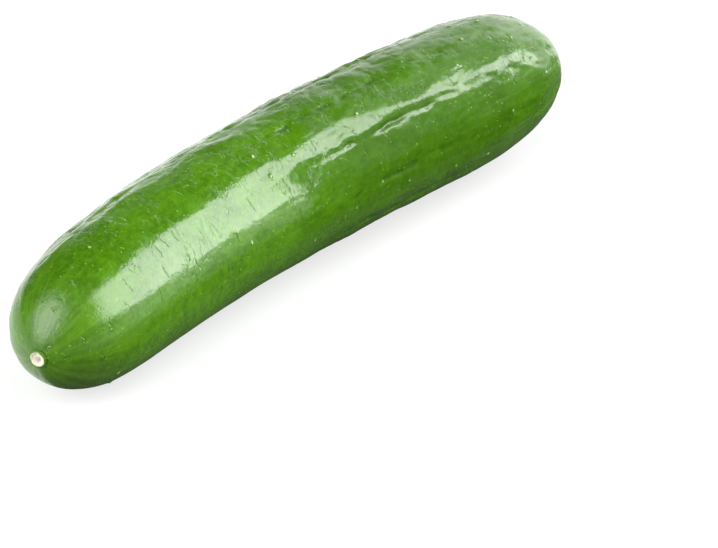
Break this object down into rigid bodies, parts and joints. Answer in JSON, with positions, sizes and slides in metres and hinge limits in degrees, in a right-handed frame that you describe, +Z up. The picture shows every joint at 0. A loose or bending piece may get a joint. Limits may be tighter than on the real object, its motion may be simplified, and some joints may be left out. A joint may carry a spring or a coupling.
{
  "type": "cucumber",
  "caption": "Whole slicing cucumber lying on its side, gently bowed, with shallow ribs and furrows, low warts, a round flower scar and a short stalk stub.",
  "frame": {"origin": "on the surface the cucumber lies on, under the middle of its bounding box", "axes": "+X along the fruit towards the stalk end, +Y towards the outer side of its bow, +Z up"},
  "size_m": [0.2322, 0.0522, 0.0469],
  "materials": {
    "cucumber_skin": "waxy green skin with a clear gloss, finely wrinkled and speckled; the flower scar is cream cork and the stalk stub a dull pale green"
  },
  "bodies": {
    "root": {"cucumber": "cucumber_skin"}
  },
  "joints": []
}
